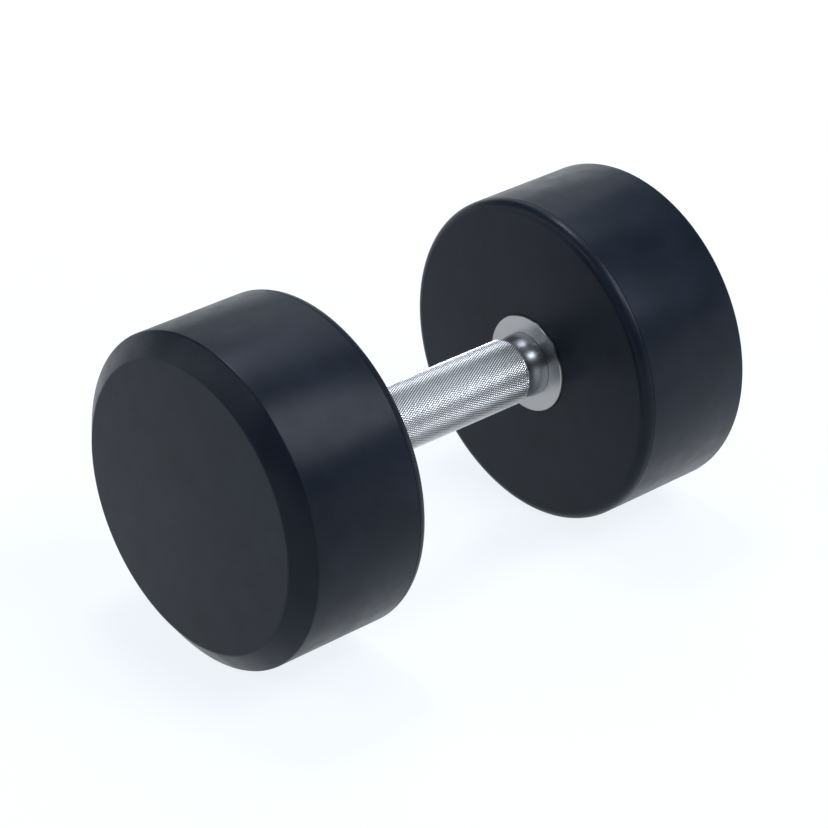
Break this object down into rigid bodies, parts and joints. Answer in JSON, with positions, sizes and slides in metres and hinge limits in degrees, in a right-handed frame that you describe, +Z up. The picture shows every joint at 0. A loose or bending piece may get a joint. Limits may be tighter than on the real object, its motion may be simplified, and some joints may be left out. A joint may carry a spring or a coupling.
{
  "type": "round head dumbbell",
  "caption": "Fixed dumbbell: a knurled steel bar with bright collars between two round, bevelled heads of rubber moulded over iron castings.",
  "frame": {"origin": "middle of the grip, on the handle's axis", "axes": "+X along the handle to the right-hand head, +Z up, +Y away from the viewer at the front"},
  "size_m": [0.2776, 0.16, 0.16],
  "materials": {
    "handle_chrome": "fine diamond knurl, bright",
    "collar_steel": "fine turned",
    "core_iron": "as cast",
    "pin_steel": "spring steel, oiled",
    "head_rubber": "moulded, semi matt"
  },
  "bodies": {
    "root": {"handle_bar": "handle_chrome", "left_collar": "collar_steel", "left_head_core": "core_iron", "left_cross_pin": "pin_steel", "left_rubber_cover": "head_rubber", "right_collar": "collar_steel", "right_head_core": "core_iron", "right_cross_pin": "pin_steel", "right_rubber_cover": "head_rubber"}
  },
  "joints": []
}
